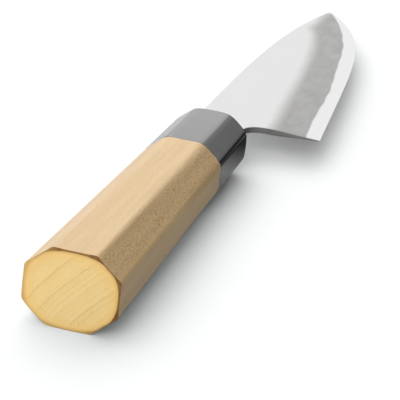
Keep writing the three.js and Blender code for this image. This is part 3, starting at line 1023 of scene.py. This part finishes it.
# Steel: features in a metre along the knife, up its height and through its thickness
BRUSHING_SCALE = (60.0, 3000.0, 3000.0)
HAZE_CLOUD_SCALE = (130.0, 260.0, 260.0)
HAZE_GRAIN_SCALE = (1400.0, 1900.0, 1900.0)
FILE_MARK_SCALE = (900.0, 900.0, 5200.0)


def brushed(tree, low, high):
    """Fine brushing along the blade, between two values."""
    return map_range(tree, noise(tree, BRUSHING_SCALE, 3.0), 0.25, 0.75, low, high)


def clad_steel(blade):
    """Cladding: a brushed bright flat that turns into a hazy, mottled bevel."""
    material, tree = new_material("clad_steel")
    cloud = noise(tree, HAZE_CLOUD_SCALE, 3.0)
    fine = noise(tree, HAZE_GRAIN_SCALE)
    drift = map_range(tree, cloud, 0.25, 0.75, -0.1, 0.1)
    haze = map_range(tree, total(tree, attribute(tree, "haze"), drift), 0.12, 0.9)
    mottle = map_range(tree, total(tree, cloud, product(tree, fine, 0.4)), 0.45, 0.95, 0.9, 1.1)
    dull = shaded(tree, blade.haze_colour, mottle)
    bright = shaded(tree, blade.flat_colour, brushed(tree, 0.95, 1.03))
    relief = total(tree, brushed(tree, 0.0, 1.0), product(tree, haze, fine))
    looks = {
        "Base Color": mix_colour(tree, haze, bright, dull),
        "Metallic": 1.0,
        "Roughness": total(tree, brushed(tree, 0.36, 0.44), product(tree, haze, 0.12)),
        "Normal": bump(tree, relief, 0.004 * MM, 0.5),
    }
    add_surface(tree, looks)
    return material


def core_steel(blade):
    """Core: bright hard steel with fine stone marks along the edge."""
    material, tree = new_material("core_steel")
    looks = {
        "Base Color": shaded(tree, blade.core_colour, brushed(tree, 0.96, 1.03)),
        "Metallic": 1.0,
        "Roughness": brushed(tree, 0.34, 0.42),
        "Normal": bump(tree, brushed(tree, 0.0, 1.0), 0.003 * MM, 0.4),
    }
    add_surface(tree, looks)
    return material


def cut_steel(blade):
    """Cut faces of the spine and the choil: duller steel with file marks across, painted darker as well,
    which stands in for the shade that the choil mirrors from the ferrule and the floor.
    """
    material, tree = new_material("cut_steel")
    marks = noise(tree, FILE_MARK_SCALE)
    looks = {
        "Base Color": shaded(tree, blade.cut_and_shade_colour, map_range(tree, marks, 0.25, 0.75, 0.8, 1.15)),
        "Metallic": 1.0,
        "Roughness": map_range(tree, marks, 0.2, 0.8, 0.4, 0.6),
    }
    add_surface(tree, looks)
    return material


# The floor lies just under the facet, so that the two never share a plane
FLOOR_DROP = 0.05 * MM
# Mirrors show painted shade on the floor on the edge side, which starts between two places across the knife
EDGE_SIDE = (-6.0 * MM, -12.0 * MM)
# Beside the blade, which starts between two places along the knife, they show only this share of that
BESIDE_BLADE = (55.0 * MM, 80.0 * MM)
BESIDE_BLADE_SHARE = 0.1

WHITE = (1.0, 1.0, 1.0)
CARD_BLACK = (0.01, 0.01, 0.01)
# Places along the knife between which the dark card turns from black to white in mirrors
CARD_WHITENS = (1350.0 * MM, 1100.0 * MM)
# Steps along the card, and shares of its length between which it rises
FLAG_STEPS = 48
FLAG_RISE = (0.1, 0.4)


def floor_paper(stage):
    """Matt white paper with a faint painted glow that lifts its shadows, and that gives back less light to
    the knife than it shows.

    Mirrors show painted shade on it: only a share of its light on the edge side, and still less beside the
    blade.
    """
    material, tree = new_material("floor_paper")
    place = object_axes(tree)
    dimmed = scaled(stage.floor_colour, stage.floor_bounce)
    tone = mix_colour(tree, ray(tree, "Diffuse"), stage.floor_colour, dimmed)
    # Painted shade in mirrors: glossy rays see the floor darker on the edge side and beside the blade
    mirrored = product(tree, ray(tree, "Glossy"), map_range(tree, place["Y"], *EDGE_SIDE))
    least = BESIDE_BLADE_SHARE * stage.floor_mirror
    share = map_range(tree, place["X"], *BESIDE_BLADE, stage.floor_mirror, least)
    looks = {
        "Base Color": mix_colour(tree, mirrored, tone, shaded(tree, stage.floor_colour, share)),
        "Roughness": 0.9,
        "Specular IOR Level": 0.1,
        # Painted glow that lifts the floor's shadows
        "Emission Color": stage.floor_glow,
        "Emission Strength": 1.0,
    }
    add_surface(tree, looks)
    return material


def dark_card():
    """Matt black card, which mirrors show as black beside the tip and as white as the tent further round."""
    material, tree = new_material("dark_card")
    further = map_range(tree, object_axes(tree)["X"], *CARD_WHITENS)
    looks = {
        "Base Color": CARD_BLACK,
        "Roughness": 1.0,
        "Specular IOR Level": 0.0,
        "Emission Color": WHITE,
        "Emission Strength": product(tree, ray(tree, "Glossy"), further),
    }
    add_surface(tree, looks)
    return material


def stage_sheet(name, points, material):
    """A stage piece from a grid of points."""
    rows, columns = points.shape[:2]
    near = np.arange(rows - 1)[:, None] * columns
    here = np.arange(columns - 1)[None, :]
    corners = [near + here, near + here + 1, near + columns + here + 1, near + columns + here]
    quads = np.stack(corners, axis=-1).reshape(-1, 4)
    mesh = bpy.data.meshes.new(name)
    mesh.from_pydata(points.reshape(-1, 3).tolist(), [], quads.tolist())
    mesh.materials.append(material)
    sheet = bpy.data.objects.new(name, mesh)
    bpy.context.scene.collection.objects.link(sheet)
    return sheet


def floor_points(stage):
    """Four corners of a level square just under the table's plane."""
    side = np.array([-1.0, 1.0]) * stage.floor_reach
    x, y = np.meshgrid(side, side)
    return np.stack([x, y, np.full_like(x, -FLOOR_DROP)], axis=-1)


def flag_points(stage):
    """An upright strip along an arc round the knife, which rises in an S to its full height."""
    share = np.linspace(0.0, 1.0, FLAG_STEPS)
    angle = stage.flag_start + (stage.flag_end - stage.flag_start) * share
    top = stage.flag_low + (stage.flag_high - stage.flag_low) * ease(*FLAG_RISE, share)
    height = np.array([0.0, 1.0])[:, None] * top
    x = np.broadcast_to(stage.flag_radius * np.cos(angle), height.shape)
    y = np.broadcast_to(stage.flag_radius * np.sin(angle), height.shape)
    return np.stack([x, y, height], axis=-1)


# Wide suns: strength, size, turn from the tip's direction and height above the table, with angles in degrees
KNIFE_SUNS = {
    "key": (0.765, 90.0, 65.0, 58.6),
    "front": (0.53, 60.0, 171.0, 3.5),
}
FLOOR_SUNS = {
    "floor_tip": (0.12, 60.0, 0.0, 55.0),
    "floor_tip_low": (0.105, 50.0, 0.0, 25.0),
    "floor_back": (0.154, 60.0, 45.0, 55.0),
    "floor_left": (0.153, 60.0, 135.0, 55.0),
    "floor_front": (0.632, 50.0, 180.0, 25.0),
}
HANDLE_SHADOW_SUN = (0.2, 60.0, 45.0, 55.0)


def sun_lamp(name, sun, lit, blockers, share=1.0):
    """A wide sun for some objects only. Strength 1 shows a white sheet square to it as white."""
    strength, *angles = sun
    size, turn, height = map(math.radians, angles)
    towards = (math.cos(turn) * math.cos(height), math.sin(turn) * math.cos(height), math.sin(height))
    light = bpy.data.lights.new(name, "SUN")
    light.energy = share * strength * math.pi
    light.angle = size
    light.cycles.use_multiple_importance_sampling = False
    lamp = bpy.data.objects.new(name, light)
    lamp.rotation_mode = "QUATERNION"
    lamp.rotation_quaternion = Vector(towards).to_track_quat("Z", "Y")
    lamp.light_linking.receiver_collection = lit
    lamp.light_linking.blocker_collection = blockers
    bpy.context.scene.collection.objects.link(lamp)


def softbox_lamp(stage, lit, share=1.0):
    """A bright rectangle beyond the tip, for some objects only, which the facets and the steel mirror."""
    light = bpy.data.lights.new("softbox", "AREA")
    light.shape = "RECTANGLE"
    light.size = stage.softbox_width
    light.size_y = stage.softbox_height
    light.energy = share * stage.softbox * math.pi * light.size * light.size_y
    box = bpy.data.objects.new("softbox", light)
    box.location = stage.softbox_place
    box.rotation_mode = "QUATERNION"
    box.rotation_quaternion = (-Vector(stage.softbox_place)).to_track_quat("-Z", "Y")
    box.visible_camera = False
    box.light_linking.receiver_collection = lit
    bpy.context.scene.collection.objects.link(box)


def light_group(name, objects):
    """Objects that one lamp lights, or whose shadows it casts."""
    group = bpy.data.collections.new(name)
    for each in objects:
        group.objects.link(each)
    return group


def studio_light(stage, floor):
    """Suns for the knife and for the floor, and a softbox beyond the tip.

    The key comes from above the spine side and the front light from the camera's side. They and the softbox
    reach the blade more weakly, so that bright steel doesn't burn out. The floor has its own suns, and in the
    last of them the handle alone casts a shadow.
    """
    pieces = [bpy.data.objects[name] for name in ("grip", "collar", "core", "clad_right", "clad_left")]
    knife = light_group("lit_knife", pieces)
    ground = light_group("lit_floor", [floor])
    handle = light_group("lit_handle", pieces[:2])
    blade = light_group("lit_blade", pieces[2:])
    for name, sun in KNIFE_SUNS.items():
        sun_lamp(name, sun, handle, knife)
        sun_lamp(name, sun, blade, knife, stage.blade_share)
    for name, sun in FLOOR_SUNS.items():
        sun_lamp(name, sun, ground, knife)
    sun_lamp("handle_back", HANDLE_SHADOW_SUN, ground, handle)
    softbox_lamp(stage, light_group("lit_softly", [floor] + pieces[:2]))
    softbox_lamp(stage, blade, stage.blade_share)


def studio_world(stage):
    """A tent that is white to look at, also in reflections, and that lights the rest more softly."""
    world = bpy.data.worlds.new("tent")
    world.use_nodes = True
    tree = world.node_tree
    tree.nodes.clear()
    seen = calculate(tree, "MAXIMUM", ray(tree, "Camera"), ray(tree, "Glossy"))
    seen = calculate(tree, "MAXIMUM", seen, ray(tree, "Transmission"))
    strength = map_range(tree, seen, 0.0, 1.0, stage.ambient, 1.0)
    tent = add_node(tree, "ShaderNodeBackground", {"Color": WHITE, "Strength": strength})
    add_node(tree, "ShaderNodeOutputWorld", {"Surface": tent.outputs["Background"]})
    bpy.context.scene.world = world


# How near and how far the camera sees, in camera distances and in reaches of the floor
NEAR_SHARE = 0.01
FAR_SHARE = 3.0


def studio_camera(stage):
    """Camera on a sphere round its target, turned about its own axis by the roll."""
    level = math.cos(stage.elevation)
    away = (math.sin(stage.azimuth) * level, -math.cos(stage.azimuth) * level, math.sin(stage.elevation))
    back = Vector(away)
    lens = bpy.data.cameras.new("camera")
    lens.lens = stage.lens
    lens.sensor_width = stage.sensor
    lens.clip_start = NEAR_SHARE * stage.distance
    lens.clip_end = FAR_SHARE * stage.floor_reach
    camera = bpy.data.objects.new("camera", lens)
    camera.location = Vector(stage.target) + back * stage.distance
    camera.rotation_mode = "QUATERNION"
    camera.rotation_quaternion = (-back).to_track_quat("-Z", "Y") @ Quaternion((0.0, 0.0, 1.0), stage.roll)
    bpy.context.scene.collection.objects.link(camera)
    bpy.context.scene.camera = camera


class KNIFE_OT_grip(bpy.types.Operator):
    """Make the wooden grip with its soft facets and its domed, burnished butt"""

    bl_idname = "knife.grip"
    bl_label = "Wooden grip"

    def execute(self, context):
        handle = context.scene.knife_handle
        points, zones, outwards, burnish = grip_surface(handle, context.scene.knife_ferrule)
        rows, columns = points.shape[:2]
        quads = grid_faces(rows, columns)
        materials = [side_grain(handle), end_grain(handle)]
        finish = np.repeat(zones, columns)
        values = {"outwards": outwards, "burnish": burnish}
        new_piece("grip", points, quads, materials, finish, "handle_grip", "handle_wood", **values)
        return {"FINISHED"}


class KNIFE_OT_ferrule(bpy.types.Operator):
    """Make the black ferrule with its rounded nose, and give the bedding behind it its resin"""

    bl_idname = "knife.ferrule"
    bl_label = "Ferrule and bedding"

    def execute(self, context):
        scene = context.scene
        points = ferrule_surface(scene.knife_handle, scene.knife_ferrule, scene.knife_blade)
        rows, columns = points.shape[:2]
        quads = grid_faces(rows, columns)
        materials = [black_lacquer(scene.knife_ferrule)]
        new_piece("collar", points, quads, materials, np.zeros(len(quads)), "ferrule", "ferrule_black")
        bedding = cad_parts["tang_bedding"]
        bedding.data.materials.clear()
        bedding.data.materials.append(bedding_resin(scene.knife_ferrule))
        return {"FINISHED"}


class KNIFE_OT_core(bpy.types.Operator):
    """Make the core of the blade, from the tang's end to the edge and the tip"""

    bl_idname = "knife.core"
    bl_label = "Blade core"

    def execute(self, context):
        blade = context.scene.knife_blade
        points = core_surface(context.scene.knife_handle, blade)
        quads = layer_faces(len(points))
        materials = [core_steel(blade), cut_steel(blade)]
        new_piece("core", points, quads, materials, wall_faces(len(points)), "blade_core", "core_steel")
        return {"FINISHED"}


class KNIFE_OT_claddings(bpy.types.Operator):
    """Make both claddings, with a bright flat, a hazy bevel and a waved weld line"""

    bl_idname = "knife.claddings"
    bl_label = "Claddings"

    def execute(self, context):
        blade = context.scene.knife_blade
        materials = [clad_steel(blade), cut_steel(blade)]
        for name, side in (("right", 1.0), ("left", -1.0)):
            points, haze = cladding_surface(context.scene.knife_handle, blade, side)
            quads = layer_faces(len(points))
            finish = wall_faces(len(points))
            node = "cladding_" + name
            new_piece("clad_" + name, points, quads, materials, finish, node, "cladding_steel", haze=haze)
        return {"FINISHED"}


class KNIFE_OT_stage(bpy.types.Operator):
    """Set up the pale floor, the soft light and the camera"""

    bl_idname = "knife.stage"
    bl_label = "Studio stage"

    def execute(self, context):
        stage = context.scene.knife_stage
        floor = stage_sheet("floor", floor_points(stage), floor_paper(stage))
        flag = stage_sheet("flag", flag_points(stage), dark_card())
        flag.visible_camera = False
        studio_world(stage)
        studio_light(stage, floor)
        studio_camera(stage)
        context.scene.view_settings.view_transform = "Standard"
        return {"FINISHED"}


class KNIFE_PT_panel(bpy.types.Panel):
    """The knife's pieces and their settings"""

    bl_idname = "KNIFE_PT_panel"
    bl_label = "Petty knife"
    bl_space_type = "VIEW_3D"
    bl_region_type = "UI"
    bl_category = "Knife"

    def draw(self, context):
        for operator in OPERATORS:
            self.layout.operator(operator.bl_idname)
        for name in SETTINGS:
            box = self.layout.box()
            group = getattr(context.scene, name)
            for value in group.__annotations__:
                box.prop(group, value)


SETTINGS = {
    "knife_handle": HandleSettings,
    "knife_ferrule": FerruleSettings,
    "knife_blade": BladeSettings,
    "knife_stage": StageSettings,
}
OPERATORS = (KNIFE_OT_grip, KNIFE_OT_ferrule, KNIFE_OT_core, KNIFE_OT_claddings, KNIFE_OT_stage)
CLASSES = (*SETTINGS.values(), *OPERATORS, KNIFE_PT_panel)


def register():
    """Register the classes and keep their settings on the scene."""
    for each in CLASSES:
        bpy.utils.register_class(each)
    for name, group in SETTINGS.items():
        setattr(bpy.types.Scene, name, PointerProperty(type=group))


def unregister():
    """Take the settings and the classes away again."""
    for name in SETTINGS:
        delattr(bpy.types.Scene, name)
    for each in reversed(CLASSES):
        bpy.utils.unregister_class(each)


def main():
    """Build every piece and the stage."""
    register()
    bpy.ops.knife.grip()
    bpy.ops.knife.ferrule()
    bpy.ops.knife.core()
    bpy.ops.knife.claddings()
    bpy.ops.knife.stage()


if __name__ == "__main__":
    main()
